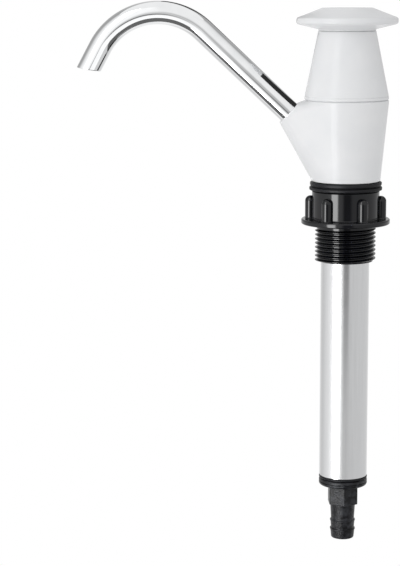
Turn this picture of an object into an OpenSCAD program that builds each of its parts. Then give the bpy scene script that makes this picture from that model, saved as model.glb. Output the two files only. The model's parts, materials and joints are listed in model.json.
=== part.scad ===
// Hand water pump for a caravan or galley sink, in millimetres, +Z up.
// The origin is on the pump's axis, in the plane of the flange's underside, which sits on the counter.
// The spout reaches towards -X. The knob lifts a ported piston in the barrel, and a ball valve in the foot
// holds the water that it draws.

/* [Barrel] */
// Outside diameter of the barrel tube
tube_d = 26.6; // [25.6:0.1:27.6]
// Wall of the barrel tube
tube_wall = 1; // [0.8:0.1:1.4]

/* [Base fitting] */
// Diameter of the flange that rests on the counter
flange_d = 48.5; // [47:0.5:60]
// Thickness of the flange
flange_t = 2.8; // [2.6:0.1:5]
// Outside diameter of the grip collar
collar_d = 36.9; // [35.5:0.1:39]
// Height of the grip collar above the flange
collar_h = 15.2; // [14:0.1:20]
// Wall of the collar around the swivel socket
collar_wall = 2.25; // [2:0.05:2.6]
// Number of grip lugs round the collar
lug_count = 6; // [4:1:8]
// Diameter over opposite lugs
lug_d = 44.3; // [42:0.1:46.5]
// Width of one lug
lug_w = 5.9; // [4:0.1:9]
// Height of a lug above the flange
lug_h = 12.5; // [9:0.1:14]
// Turn of the lugs about the pump's axis
lug_turn = -6; // [-30:1:30]

/* [Shank thread] */
// Major diameter of the one-inch pipe thread
thread_d = 33.25; // [32.6:0.05:34.5]
// Pitch of the thread
thread_pitch = 2.309; // [1.8:0.001:2.6]
// Depth of the thread
thread_depth = 1.48; // [1:0.02:1.6]
// Turns of thread on the shank
thread_turns = 8; // [5:1:14]
// Diameter of the smooth neck above the thread
neck_d = 32.2; // [31.4:0.1:32.6]
// Height of the smooth neck
neck_h = 2.1; // [1:0.1:4]

/* [Head] */
// Diameter of the head under the cap
head_top_d = 45.8; // [45.5:0.1:52]
// Diameter of the head on the gasket
head_base_d = 37.6; // [37:0.1:42]
// Height of the head
head_h = 43.8; // [43:0.2:50]
// Wall of the swivel spigot below the head
spigot_wall = 3.5; // [3.2:0.1:4]
// Diameter of the rubber gasket over its lower rib
gasket_d = 40; // [39.4:0.1:43]
// Height of the rubber gasket
gasket_h = 5.5; // [4:0.1:7]

/* [Cap] */
// Diameter of the cap over the rod
cap_top_d = 31.2; // [31:0.1:36]
// Height of the cap
cap_h = 37; // [34:0.2:48]
// Height of the straight band round the cap's foot
cap_band_h = 2; // [1:0.1:4]
// Wall of the cap's cone
cap_wall = 2.6; // [2:0.1:3.2]
// Diameter of the cap's screw in the head
cap_screw_d = 30; // [29:0.1:31]
// Length of the cap's screw
cap_screw_l = 8.6; // [8:0.1:10]
// Diameter of the cap's core bore
core_d = 22; // [21:0.1:22.6]

/* [Knob] */
// Diameter of the knob's rim
knob_d = 54.8; // [48:0.1:64]
// Diameter of the knob's flat top
knob_top_d = 27.2; // [22:0.1:36]
// Height of the knob
knob_h = 12.2; // [12:0.1:18]
// Thickness of the knob's rim
knob_rim_t = 4; // [2.4:0.1:5]
// Height of the knob's neck below its flare
knob_neck_h = 0.6; // [0.5:0.1:3]
// Height from the neck to the rim
knob_flare_h = 2.7; // [2.4:0.1:6]

/* [Spout] */
// Outside diameter of the spout pipe
spout_d = 12.6; // [11.4:0.1:12.8]
// Wall of the spout pipe
spout_wall = 1; // [0.7:0.1:1.4]
// Rise of the straight run above the horizontal
spout_rise = 43.5; // [40:0.5:46]
// Height above the flange where the spout's axis meets the pump's axis
spout_root_z = 31.2; // [31:0.1:34]
// Distance along the spout's axis from the pump's axis to the mouth of its socket
socket_reach = 43; // [41:0.1:48]
// Diameter of the head round the mouth of the socket
socket_d = 15.2; // [14.4:0.1:18]
// Depth of the pipe in its socket
socket_depth = 14.5; // [12:0.1:16]
// Straight run of pipe from the socket to the bend
spout_run = 64; // [50:0.5:100]
// Radius of the bend at the pipe's axis
bend_r = 35.4; // [28:0.1:45]
// Angle that the bend turns through
bend_angle = 105.3; // [95:0.1:120]
// Straight length of pipe after the bend
spout_tip = 13.2; // [8:0.1:30]
// Slant of the cut across the outlet, which turns it level
tip_slant = 18; // [0:1:25]

/* [Plunger] */
// Diameter of the piston rod
rod_d = 8; // [7:0.1:9]
// Travel of the knob from its stop on the cap
stroke = 115; // [80:0.5:180]
// Room below the plunger at the bottom of its stroke
foot_room = 1.5; // [1:0.1:6]
// Height of the piston
piston_h = 14; // [12:0.1:15]
// Number of water ports through the piston
port_count = 6; // [4:1:8]
// Lift of the piston's valve disc
disc_lift = 3; // [2:0.1:4]

/* [Foot valve] */
// Diameter of the plug's rim below the barrel
plug_d = 26.9; // [26.4:0.1:30]
// Thickness of the plug's rim
plug_rim_t = 4; // [3:0.1:6]
// Thickness of the rubber ring between barrel and plug
foot_gasket_t = 1.6; // [1.2:0.1:2.4]
// Depth of the plug inside the barrel
plug_insert = 8; // [7.6:0.1:10]
// Width across the flats of the plug's hexagon
hex_af = 15.7; // [15:0.1:20]
// Height of the hexagon
hex_h = 11.5; // [8:0.1:16]
// Turn of the hexagon about the pump's axis
hex_turn = 31.6; // [0:0.2:60]
// Diameter of the hose tail over its barbs
barb_d = 14; // [13:0.1:15]
// Length of the hose tail
tail_l = 19.5; // [15:0.1:26]
// Bore of the hose tail
inlet_d = 8.8; // [8:0.1:9.4]
// Diameter of the foot valve's ball
ball_d = 12; // [11.6:0.1:12.6]
// Lift of the ball
ball_lift = 2.6; // [1.6:0.1:2.8]

/* [Fits] */
// Gap on the radius between pieces that are pressed or screwed together
fit_gap = 0.05; // [0.02:0.01:0.1]
// Gap on the radius between pieces that slide or turn on each other
run_gap = 0.06; // [0.03:0.01:0.1]
// Section of the rubber rings
ring_section = 1.9; // [1.6:0.05:2]
// Gap between flat faces that meet when the pump is at rest
rest_gap = 0.2; // [0.1:0.05:0.3]

/* [Hidden] */
$fn = 96;

// How far a cutter passes the face that it cuts, and how far joined solids lap
over = 1;
lap = 0.01;
// Break on moulded edges
edge = 0.4;
// Direction towards the axis on a profile
inward = 180;

// Heights of the joints between pieces, from the flange's underside
collar_top = flange_t + collar_h;
head_base = collar_top + gasket_h;
head_top = head_base + head_h;
cap_top = head_top + cap_h;
knob_base = cap_top + rest_gap;
shank_end = -(neck_h + thread_turns * thread_pitch);

// Barrel's upper end and the ledge in the base that it seats under
tube_r = tube_d / 2;
bore_r = tube_r - tube_wall;
tube_rise = 1;
tube_top = flange_t + tube_rise;
ledge_t = 2.5;
ledge_w = 1.2;
ledge_top = tube_top + ledge_t;
ledge_r = bore_r - ledge_w;
shank_bore_r = tube_r + fit_gap;

// Ring grooves hold a ring of ring_section with a little room either side
groove_room = 0.4;
groove_w = ring_section + groove_room;
groove_depth = ring_section + fit_gap;

// Swivel between the head's spigot and the collar's socket
socket_r = collar_d / 2 - collar_wall;
spigot_r = socket_r - run_gap;
spigot_room = 0.5;
spigot_end = ledge_top + spigot_room;
chamber_r = spigot_r - spigot_wall;
clip_t = 1.6;
clip_bite = 0.9;
clip_rise = 3;
clip_z = ledge_top + clip_rise;
spigot_ring_drop = 3;
spigot_ring_z = collar_top - spigot_ring_drop;

// Cap, its screw and the gland stack in its core bore
cap_screw_r = cap_screw_d / 2;
screw_end = head_top - cap_screw_l;
screw_room = 0.4;
screw_floor = screw_end - screw_room;
cap_ring_z = head_top - cap_screw_l * 0.4;
cap_roof = 4;
core_r = core_d / 2;
core_top = cap_top - cap_roof;
rod_r = rod_d / 2;
rod_clear = 0.4;
rod_way_r = rod_r + rod_clear;
rod_bush_r = rod_r + run_gap;
gland_fit_r = core_r - fit_gap;
gland_clip_t = 1.2;
gland_clip_land = 1.2;
gland_clip_z = screw_end + gland_clip_land;
washer_t = 1;
washer_z = gland_clip_z + gland_clip_t;
gland_z = washer_z + washer_t;
gland_h = 13;
seal_h = 5;
seal_w = 3.6;
seal_r = rod_r + seal_w;
gland_ring_z = gland_z + (seal_h + gland_h) / 2;
guide_h = 10;
knob_hole_depth = 10;

// Spout socket in the head
spout_r = spout_d / 2;
spout_bore_r = spout_r - spout_wall;
spout_start = socket_reach - socket_depth;
spout_ring_at = socket_reach - socket_depth / 2;

// The drawn tip laps the end of the bend by a little and is a hair wider there
tip_lap = 0.3;
tip_step = 0.01;

// Piston, its rings, its valve disc and its fastenings, from the top of the stroke under the ledge
top_room = 0.5;
piston_gap = 0.2;
piston_r = bore_r - piston_gap;
piston_top = tube_top - top_room - stroke;
piston_end = piston_top - piston_h;
piston_ring_r = bore_r - run_gap - ring_section;
upper_ring_z = piston_top - piston_h / 4;
lower_ring_z = piston_end + piston_h / 4;
rod_tail_step = 1;
rod_tail_r = rod_r - rod_tail_step;
piston_washer_w = 2.8;
piston_washer_r = rod_tail_r + piston_washer_w;
port_d = 3.4;
port_circle_r = (piston_washer_r + piston_ring_r) / 2;
disc_r = piston_ring_r;
disc_t = 1.6;
stop_t = 1;
stop_z = piston_top + rest_gap + disc_t + disc_lift + rest_gap;
stop_bite = 0.7;
stop_w = 2.7;
stop_r = rod_r + stop_w;
nut_af = 10;
nut_h = 5;
nut_z = piston_end - washer_t - nut_h;
rod_tail_show = 0.6;
rod_tail_end = nut_z - rod_tail_show;

// Foot valve plug below the plunger, the barrel's end round it, the ball and its cage
plug_top = rod_tail_end - foot_room;
tube_end = plug_top - plug_insert;
plug_rim_top = tube_end - foot_gasket_t;
plug_rim_end = plug_rim_top - plug_rim_t;
hex_end = plug_rim_end - hex_h;
tail_end = hex_end - tail_l;
plug_spigot_r = bore_r - fit_gap;
foot_ring_z = tube_end + plug_insert * 0.4;
inlet_r = inlet_d / 2;
ball_r = ball_d / 2;
plug_wall = 0.7;
cage_t = 1.4;
cage_z = plug_top - cage_t;
cage_r = plug_spigot_r - groove_depth - plug_wall;
cage_lip = 1.6;
valve_room_r = cage_r - cage_lip;
ball_z = cage_z - rest_gap - ball_lift - ball_r;
seat_lean = 30;
seat_touch_z = ball_z - rest_gap - ball_r * sin(seat_lean);
seat_end = seat_touch_z - (ball_r * cos(seat_lean) - inlet_r) / tan(seat_lean);
seat_top = seat_end + (valve_room_r - inlet_r) / tan(seat_lean);

// Points of an arc about a centre, for the round stretches of a profile
function arc(centre, r, from, to, steps = 6) =
    [for (i = [0:steps]) let (a = from + (to - from) * i / steps) centre + r * [cos(a), sin(a)]];

// A rubber ring of round section about the pump's axis
module rubber_ring(inner_r, z, section = ring_section) {
    translate([0, 0, z]) rotate_extrude() translate([inner_r + section / 2, 0]) circle(d = section);
}

// A flat washer shape about the pump's axis
module flat_ring(inner_r, outer_r, z, h) {
    translate([0, 0, z]) difference() {
        cylinder(r = outer_r, h = h);
        translate([0, 0, -over]) cylinder(r = inner_r, h = h + 2 * over);
    }
}

// A sprung clip: a flat ring with a gap in it
module split_ring(inner_r, outer_r, z, h, gap) {
    difference() {
        flat_ring(inner_r, outer_r, z, h);
        translate([0, -gap / 2, z - over]) cube([outer_r + over, gap, h + 2 * over]);
    }
}

// Brings a shape made along +Z from the origin onto the spout's rising axis
module on_spout_axis(distance = 0) {
    translate([0, 0, spout_root_z]) rotate([0, spout_rise - 90, 0]) translate([0, 0, distance]) children();
}

// Outline of one thread ridge, from its upper root to its lower root
function thread_ridge(top) =
    let (crest = thread_d / 2, root = crest - thread_depth, flat = thread_pitch / 6)
    [[root, top - flat / 2], [crest, top - (thread_pitch - flat) / 2],
     [crest, top - (thread_pitch + flat) / 2], [root, top - thread_pitch + flat / 2]];

module base_fitting() {
    edge_r = 0.7;
    flange_r = flange_d / 2;
    relief_w = 0.4;
    relief_r = thread_d / 2 + relief_w;
    relief = 0.3;
    seal_z = flange_t / 2;
    ridges = [for (turn = [0:thread_turns - 1]) each thread_ridge(-neck_h - turn * thread_pitch)];
    bore_side = [
        [shank_bore_r, shank_end],
        [shank_bore_r, seal_z - groove_w / 2], [shank_bore_r + groove_depth, seal_z - groove_w / 2],
        [shank_bore_r + groove_depth, seal_z + groove_w / 2], [shank_bore_r, seal_z + groove_w / 2],
        [shank_bore_r, tube_top], [ledge_r, tube_top], [ledge_r, ledge_top], [socket_r, ledge_top],
        [socket_r, clip_z - rest_gap], [socket_r + clip_bite + rest_gap, clip_z - rest_gap],
        [socket_r + clip_bite + rest_gap, clip_z + clip_t + rest_gap], [socket_r, clip_z + clip_t + rest_gap],
        [socket_r, collar_top]
    ];
    outer_side = concat(
        arc([collar_d / 2 - edge, collar_top - edge], edge, 90, 0),
        arc([collar_d / 2 + edge_r, flange_t + edge_r], edge_r, 180, 270),
        arc([flange_r - edge_r, flange_t - edge_r], edge_r, 90, 0),
        arc([flange_r - edge_r, edge_r], edge_r, 0, -90),
        [[relief_r, 0], [relief_r, relief], [neck_d / 2, relief], [neck_d / 2, -neck_h]],
        ridges,
        [[thread_d / 2 - thread_depth, shank_end]]
    );
    color("#1c1c1e") {
        rotate_extrude() polygon(concat(bore_side, outer_side));
        grip_lugs();
    }
}

// Lugs for turning the base by hand: upright half-round ribs with domed tops
module grip_lugs() {
    rib_r = lug_w / 2;
    rib_at = lug_d / 2 - rib_r;
    lug_top = flange_t + lug_h;
    inside = collar_d / 2 - collar_wall / 3;
    rib = concat(
        [[0, flange_t - over], [rib_r, flange_t - over]],
        arc([0, lug_top - rib_r], rib_r, 0, 90)
    );
    difference() {
        for (i = [0:lug_count - 1])
            rotate([0, 0, lug_turn + i * 360 / lug_count])
                translate([rib_at, 0, 0]) rotate_extrude() polygon(rib);
        cylinder(r = inside, h = lug_top + over);
    }
}

// Rubber ring that the head turns on: two rounded ribs with a groove between them
module swivel_gasket() {
    spigot_clear = 0.3;
    foot_step = 0.25;
    lip_step = 0.2;
    rib_step = 0.35;
    rib_turn = 45;
    inner_r = socket_r + spigot_clear;
    round_r = gasket_h / 4;
    rib_r = gasket_d / 2 - round_r;
    foot_r = collar_d / 2 + foot_step;
    lip_r = head_base_d / 2 - lip_step;
    color("#161617") rotate_extrude() polygon(concat(
        [[inner_r, collar_top], [foot_r, collar_top]],
        arc([rib_r, collar_top + round_r], round_r, -rib_turn, rib_turn),
        arc([rib_r - rib_step, head_base - round_r], round_r, -rib_turn, rib_turn),
        [[lip_r, head_base], [inner_r, head_base]]
    ));
}

module tube_seal() {
    color("#161617") rubber_ring(shank_bore_r, flange_t / 2);
}

module barrel_tube() {
    color("#c9cacc") flat_ring(bore_r, tube_r, tube_end, tube_top - tube_end);
}

module foot_gasket() {
    outer_r = plug_d / 2;
    round_r = foot_gasket_t / 2;
    color("#161617") rotate_extrude() polygon(concat(
        [[bore_r, plug_rim_top]],
        arc([outer_r - round_r, plug_rim_top + round_r], round_r, -90, 90, 10),
        [[bore_r, tube_end]]
    ));
}

// Plug in the barrel's lower end: rim, hexagon, barbed hose tail and the ball's seat, in one moulding
module foot_plug() {
    rim_r = plug_d / 2;
    round_r = plug_rim_t / 3;
    ring_floor = plug_spigot_r - groove_depth;
    barb_r = barb_d / 2;
    rim_turn = 60;
    barb_land = 0.6;
    barb_dip = 0.57;
    barb_back = 0.25;
    tail_step = 0.05;
    tip_taper = 0.7;
    tip_break = 0.5;
    tip_r = barb_r - tip_taper;
    first_barb = hex_end - tail_l * 0.466;
    second_barb = hex_end - tail_l * 0.723;
    water_way = [
        [inlet_r, tail_end], [inlet_r, seat_end], [valve_room_r, seat_top],
        [valve_room_r, cage_z], [cage_r, cage_z], [cage_r, plug_top]
    ];
    in_barrel = [
        [plug_spigot_r, plug_top],
        [plug_spigot_r, foot_ring_z + groove_w / 2], [ring_floor, foot_ring_z + groove_w / 2],
        [ring_floor, foot_ring_z - groove_w / 2], [plug_spigot_r, foot_ring_z - groove_w / 2],
        [plug_spigot_r, plug_rim_top]
    ];
    below_barrel = concat(
        arc([rim_r - round_r, plug_rim_top - round_r], round_r, 90, 0),
        arc([rim_r - round_r, plug_rim_end + round_r], round_r, 0, -rim_turn),
        [[hex_af / 2 - edge, plug_rim_end]]
    );
    hose_tail = [
        [barb_r - tail_step, hex_end], [barb_r - barb_dip, first_barb + barb_land / 2],
        [barb_r, first_barb], [barb_r, first_barb - barb_land],
        [barb_r - barb_back, first_barb - barb_land * 1.5], [barb_r - barb_dip, second_barb + barb_land / 2],
        [barb_r, second_barb], [barb_r, second_barb - barb_land],
        [barb_r - barb_back, second_barb - barb_land * 1.5],
        [tip_r, tail_end + tip_break], [tip_r - tip_break, tail_end]
    ];
    color("#202022") {
        rotate_extrude() polygon(concat(water_way, in_barrel, below_barrel, hose_tail));
        difference() {
            translate([0, 0, hex_end]) rotate([0, 0, hex_turn])
                cylinder(d = hex_af / cos(30), h = hex_h + lap, $fn = 6);
            translate([0, 0, hex_end - over]) cylinder(r = (inlet_r + hex_af / 2) / 2, h = hex_h + 2 * over);
        }
    }
}

module foot_o_ring() {
    color("#161617") rubber_ring(plug_spigot_r - ring_section, foot_ring_z);
}

// Perforated disc that stops the ball
module ball_cage() {
    hole_count = 5;
    hole_d = 4.2;
    cage_rim = 1.2;
    hole_circle_r = cage_r - cage_rim - hole_d / 2;
    color("#e8e6de") difference() {
        translate([0, 0, cage_z]) cylinder(r = cage_r - fit_gap, h = cage_t);
        for (i = [0:hole_count - 1])
            rotate([0, 0, i * 360 / hole_count]) translate([hole_circle_r, 0, cage_z - over])
                cylinder(d = hole_d, h = cage_t + 2 * over);
    }
}

module foot_valve_ball() {
    color("#b5b8bc") translate([0, 0, ball_z]) sphere(r = ball_r);
}

// Head: the hull of its tapered trunk and the mouth of the spout socket, on a spigot that turns in the collar
module pump_head() {
    trunk_sides = 72;
    mouth_sides = 48;
    passage_r = spout_bore_r;
    socket_bore_r = spout_r + fit_gap;
    color("#eceded") difference() {
        union() {
            hull() {
                translate([0, 0, head_base])
                    cylinder(d1 = head_base_d - 2 * edge, d2 = head_base_d, h = edge, $fn = trunk_sides);
                translate([0, 0, head_top - 2 * edge]) cylinder(d = head_top_d, h = edge, $fn = trunk_sides);
                translate([0, 0, head_top - edge])
                    cylinder(d1 = head_top_d, d2 = head_top_d - 2 * edge, h = edge, $fn = trunk_sides);
                on_spout_axis(socket_reach - 2 * edge) cylinder(d = socket_d, h = edge, $fn = mouth_sides);
                on_spout_axis(socket_reach - edge)
                    cylinder(d1 = socket_d, d2 = socket_d - 2 * edge, h = edge, $fn = mouth_sides);
            }
            translate([0, 0, spigot_end]) cylinder(r = spigot_r, h = head_base - spigot_end + over);
        }
        translate([0, 0, spigot_end - over]) cylinder(r = chamber_r, h = screw_floor - spigot_end + 2 * over);
        translate([0, 0, screw_floor]) cylinder(r = cap_screw_r + fit_gap, h = head_top - screw_floor + over);
        on_spout_axis(spout_start) cylinder(r = socket_bore_r, h = socket_depth + over);
        on_spout_axis(chamber_r / 2) cylinder(r = passage_r, h = spout_start);
        on_spout_axis(spout_ring_at - groove_w / 2) cylinder(r = spout_r + groove_depth, h = groove_w);
        flat_ring(spigot_r - clip_bite, spigot_r + over, clip_z - fit_gap, clip_t + 2 * fit_gap);
        flat_ring(spigot_r - groove_depth, spigot_r + over, spigot_ring_z - groove_w / 2, groove_w);
    }
}

module swivel_clip() {
    inner_r = spigot_r - clip_bite + fit_gap;
    outer_r = socket_r + clip_bite - fit_gap;
    color("#8f9295") split_ring(inner_r, outer_r, clip_z, clip_t, spigot_r / 2);
}

module spigot_o_ring() {
    color("#161617") rubber_ring(spigot_r - ring_section, spigot_ring_z);
}

// Solid run of the spout: a straight piece, a bend and a straight tip
module spout_path(r, start) {
    length = socket_reach + spout_run;
    on_spout_axis() {
        translate([0, 0, start]) cylinder(r = r, h = length - start);
        translate([-bend_r, 0, length]) {
            rotate([90, 0, 0]) rotate_extrude(angle = bend_angle) translate([bend_r, 0]) circle(r = r);
            rotate([0, -bend_angle, 0]) translate([bend_r, 0, -tip_lap])
                cylinder(r = r + tip_step, h = tip_lap + spout_tip + spout_d);
        }
    }
}

// Brings a shape onto the spout's outlet, with +Z out of it
module on_outlet() {
    on_spout_axis() translate([-bend_r, 0, socket_reach + spout_run]) rotate([0, -bend_angle, 0])
        translate([bend_r, 0, spout_tip]) children();
}

module spout() {
    color("#d6d8da") difference() {
        spout_path(spout_r, spout_start + fit_gap);
        spout_path(spout_bore_r, spout_start - over);
        on_outlet() rotate([0, -tip_slant, 0]) translate([-2 * spout_d, -2 * spout_d, 0]) cube(4 * spout_d);
    }
}

module spout_o_ring() {
    color("#161617") on_spout_axis(spout_ring_at)
        rotate_extrude() translate([spout_r + fit_gap + ring_section / 2, 0]) circle(d = ring_section);
}

// Conical cap: a thin cone and a cored hub that screws into the head
module top_cap() {
    band_step = 0.1;
    cone_roof = 10;
    hub_clear = 0.2;
    band_r = head_top_d / 2 - band_step;
    top_r = cap_top_d / 2;
    band_top = head_top + cap_band_h;
    slope = (band_r - top_r) / (cap_top - band_top);
    hollow_top = cap_top - cone_roof;
    hollow_top_r = max(cap_screw_r + hub_clear, top_r + slope * (cap_top - hollow_top) - cap_wall);
    hub = [
        [rod_way_r, cap_top], [rod_way_r, core_top], [core_r, core_top],
        [core_r, washer_z + fit_gap], [core_r + clip_bite, washer_z + fit_gap],
        [core_r + clip_bite, gland_clip_z - fit_gap], [core_r, gland_clip_z - fit_gap],
        [core_r, screw_end], [cap_screw_r - edge, screw_end], [cap_screw_r, screw_end + edge],
        [cap_screw_r, cap_ring_z - groove_w / 2], [cap_screw_r - groove_depth, cap_ring_z - groove_w / 2],
        [cap_screw_r - groove_depth, cap_ring_z + groove_w / 2], [cap_screw_r, cap_ring_z + groove_w / 2],
        [cap_screw_r, hollow_top]
    ];
    cone = concat(
        [[hollow_top_r, hollow_top], [band_r - cap_wall, band_top], [band_r - cap_wall, head_top],
         [band_r - edge, head_top], [band_r, head_top + edge], [band_r, band_top]],
        arc([top_r - edge, cap_top - edge], edge, 0, 90, 3)
    );
    color("#eceded") rotate_extrude() polygon(concat(hub, cone));
}

module cap_o_ring() {
    color("#161617") rubber_ring(cap_screw_r - ring_section, cap_ring_z);
}

module gland_clip() {
    reach = 1.8;
    color("#8f9295")
        split_ring(core_r - reach, core_r + clip_bite - fit_gap, gland_clip_z, gland_clip_t, core_r / 2);
}

module seal_washer() {
    color("#c4c6c8") flat_ring(rod_way_r, gland_fit_r, washer_z, washer_t);
}

module gland_plug() {
    color("#e8e6de") difference() {
        translate([0, 0, gland_z]) cylinder(r = gland_fit_r, h = gland_h);
        translate([0, 0, gland_z - over]) cylinder(r = seal_r, h = seal_h + over);
        translate([0, 0, gland_z - over]) cylinder(r = rod_bush_r, h = gland_h + 2 * over);
        flat_ring(gland_fit_r - groove_depth, gland_fit_r + over, gland_ring_z - groove_w / 2, groove_w);
    }
}

module gland_o_ring() {
    color("#161617") rubber_ring(gland_fit_r - ring_section, gland_ring_z);
}

// Lip seal: a cup whose lips face the water
module rod_seal() {
    outer_r = seal_r - fit_gap;
    mid_r = (outer_r + rod_bush_r) / 2;
    lip_depth = seal_h / 2;
    lip_mouth = 0.9;
    lip_root = 0.3;
    color("#161617") rotate_extrude() polygon([
        [rod_bush_r, gland_z], [rod_bush_r, gland_z + seal_h],
        [outer_r, gland_z + seal_h], [outer_r, gland_z],
        [mid_r + lip_mouth, gland_z], [mid_r + lip_root, gland_z + lip_depth],
        [mid_r - lip_root, gland_z + lip_depth], [mid_r - lip_mouth, gland_z]
    ]);
}

module rod_guide() {
    color("#e8e6de") flat_ring(rod_bush_r, gland_fit_r, core_top - guide_h, guide_h);
}

// Mushroom knob: flat top, sloping shoulder, round rim and a flared neck
module knob() {
    neck_step = 0.15;
    neck_round = 0.6;
    flare_turn = 75;
    shoulder_turn = 68;
    rim_r = knob_d / 2;
    neck_r = cap_top_d / 2 - neck_step;
    top_r = knob_top_d / 2;
    rim_round = knob_rim_t * 0.45;
    hole_r = rod_r + fit_gap;
    hole_top = knob_base + knob_hole_depth + rest_gap;
    neck_top = knob_base + knob_neck_h - rest_gap;
    rim_z = knob_base + knob_neck_h + knob_flare_h;
    rim_top = rim_z + knob_rim_t;
    knob_top = knob_base + knob_h;
    color("#eceded") rotate_extrude() polygon(concat(
        [[0, hole_top], [hole_r, hole_top], [hole_r, knob_base],
         [neck_r - edge / 2, knob_base], [neck_r, knob_base + edge / 2]],
        arc([neck_r + neck_round, neck_top], neck_round, inward, inward - flare_turn, 3),
        arc([rim_r - rim_round, rim_z + rim_round], rim_round, -flare_turn, 0),
        arc([rim_r - rim_round, rim_top - rim_round], rim_round, 0, shoulder_turn),
        arc([top_r - edge, knob_top - edge], edge, shoulder_turn, 90, 2),
        [[0, knob_top]]
    ));
}

module piston_rod() {
    groove_r = rod_r - stop_bite;
    knob_end = knob_base + knob_hole_depth;
    color("#c4c6c8") rotate_extrude() polygon([
        [0, rod_tail_end], [rod_tail_r - edge, rod_tail_end], [rod_tail_r, rod_tail_end + edge],
        [rod_tail_r, piston_top], [rod_r, piston_top],
        [rod_r, stop_z - fit_gap], [groove_r, stop_z - fit_gap],
        [groove_r, stop_z + stop_t + fit_gap], [rod_r, stop_z + stop_t + fit_gap],
        [rod_r, knob_end - edge], [rod_r - edge, knob_end], [0, knob_end]
    ]);
}

// Ported piston with two ring grooves
module piston() {
    color("#3a3b3e") difference() {
        translate([0, 0, piston_end]) cylinder(r = piston_r, h = piston_h);
        translate([0, 0, piston_end - over]) cylinder(r = rod_tail_r + fit_gap, h = piston_h + 2 * over);
        for (i = [0:port_count - 1])
            rotate([0, 0, i * 360 / port_count]) translate([port_circle_r, 0, piston_end - over])
                cylinder(d = port_d, h = piston_h + 2 * over);
        for (z = [upper_ring_z, lower_ring_z])
            flat_ring(piston_ring_r - fit_gap, piston_r + over, z - groove_w / 2, groove_w);
    }
}

module upper_piston_ring() {
    color("#161617") rubber_ring(piston_ring_r, upper_ring_z);
}

module lower_piston_ring() {
    color("#161617") rubber_ring(piston_ring_r, lower_ring_z);
}

module valve_stop_clip() {
    color("#8f9295") split_ring(rod_r - stop_bite + fit_gap, stop_r, stop_z, stop_t, rod_r);
}

module piston_washer() {
    color("#c4c6c8") flat_ring(rod_tail_r + fit_gap, piston_washer_r, piston_end - washer_t, washer_t);
}

module piston_nut() {
    color("#c4c6c8") difference() {
        translate([0, 0, nut_z]) cylinder(d = nut_af / cos(30), h = nut_h, $fn = 6);
        translate([0, 0, nut_z - over]) cylinder(r = rod_tail_r + fit_gap, h = nut_h + 2 * over);
    }
}

module piston_valve_disc() {
    color("#161617") flat_ring(rod_bush_r, disc_r, piston_top + rest_gap, disc_t);
}

base_fitting();
swivel_gasket();
tube_seal();
barrel_tube();
foot_gasket();
foot_plug();
foot_o_ring();
ball_cage();
foot_valve_ball();
pump_head();
swivel_clip();
spigot_o_ring();
spout();
spout_o_ring();
top_cap();
cap_o_ring();
gland_clip();
seal_washer();
gland_plug();
gland_o_ring();
rod_seal();
rod_guide();
knob();
piston_rod();
piston();
upper_piston_ring();
lower_piston_ring();
valve_stop_clip();
piston_washer();
piston_nut();
piston_valve_disc();
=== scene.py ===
# %% [markdown]
# # A hand pump, finished for its portrait
# The pump pushes and pulls: a white knob lifts a piston in the long barrel, and the head turns with its
# bent spout. The exact solids come ready with their joints in model.glb and model.json. This lesson loads
# them as a fixed frame and then makes, piece by piece, the moulded, drawn and plated surfaces that one
# sees. The frame's origin is on the pump's axis, level with the flange's underside. Z points up, and the
# spout reaches towards -X.

# %% Load the imported solids
import json
import math

import bmesh
import bpy
from mathutils import Matrix, Vector


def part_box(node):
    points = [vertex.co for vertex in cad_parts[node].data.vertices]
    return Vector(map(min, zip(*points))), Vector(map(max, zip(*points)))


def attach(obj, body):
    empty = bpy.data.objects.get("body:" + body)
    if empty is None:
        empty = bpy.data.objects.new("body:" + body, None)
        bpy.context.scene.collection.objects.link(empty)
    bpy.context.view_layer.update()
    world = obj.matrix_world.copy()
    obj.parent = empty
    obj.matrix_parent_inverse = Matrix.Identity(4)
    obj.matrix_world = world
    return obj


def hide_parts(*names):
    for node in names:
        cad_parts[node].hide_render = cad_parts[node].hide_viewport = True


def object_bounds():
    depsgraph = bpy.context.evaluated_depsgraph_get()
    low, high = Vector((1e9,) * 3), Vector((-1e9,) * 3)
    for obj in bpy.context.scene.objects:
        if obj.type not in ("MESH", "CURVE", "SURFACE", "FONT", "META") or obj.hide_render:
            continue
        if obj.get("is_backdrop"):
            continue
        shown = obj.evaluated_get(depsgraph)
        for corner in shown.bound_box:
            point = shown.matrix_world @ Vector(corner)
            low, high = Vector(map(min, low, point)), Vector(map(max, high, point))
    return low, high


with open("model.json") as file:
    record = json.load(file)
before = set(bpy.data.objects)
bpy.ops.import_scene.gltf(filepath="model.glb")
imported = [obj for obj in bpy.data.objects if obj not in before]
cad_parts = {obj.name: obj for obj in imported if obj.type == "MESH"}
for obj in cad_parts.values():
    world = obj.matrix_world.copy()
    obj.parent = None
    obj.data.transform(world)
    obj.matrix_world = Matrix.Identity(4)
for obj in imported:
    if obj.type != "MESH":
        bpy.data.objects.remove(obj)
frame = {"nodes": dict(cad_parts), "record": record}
solid_low, solid_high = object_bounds()
MM = 0.001
solid_size = [round((high - low) / MM, 1) for low, high in zip(solid_low, solid_high)]
print("solids:", len(frame["nodes"]), "nodes,", solid_size, "mm")

# %% [markdown]
# ## Outlines with rounded corners
# Most pieces of a pump are turned or moulded round one axis, so half of a cross-section says all about
# them. Sharp corners are what make a render look false: real edges are broken by a tool or a mould and
# catch light. A corner could be bevelled later on the mesh. Here each corner carries its own rounding,
# because an outline with arcs keeps even faces all the way round and the size of every edge can be read
# in one place.

# %% Rounded outlines
ARC_STEPS = 5


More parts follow.
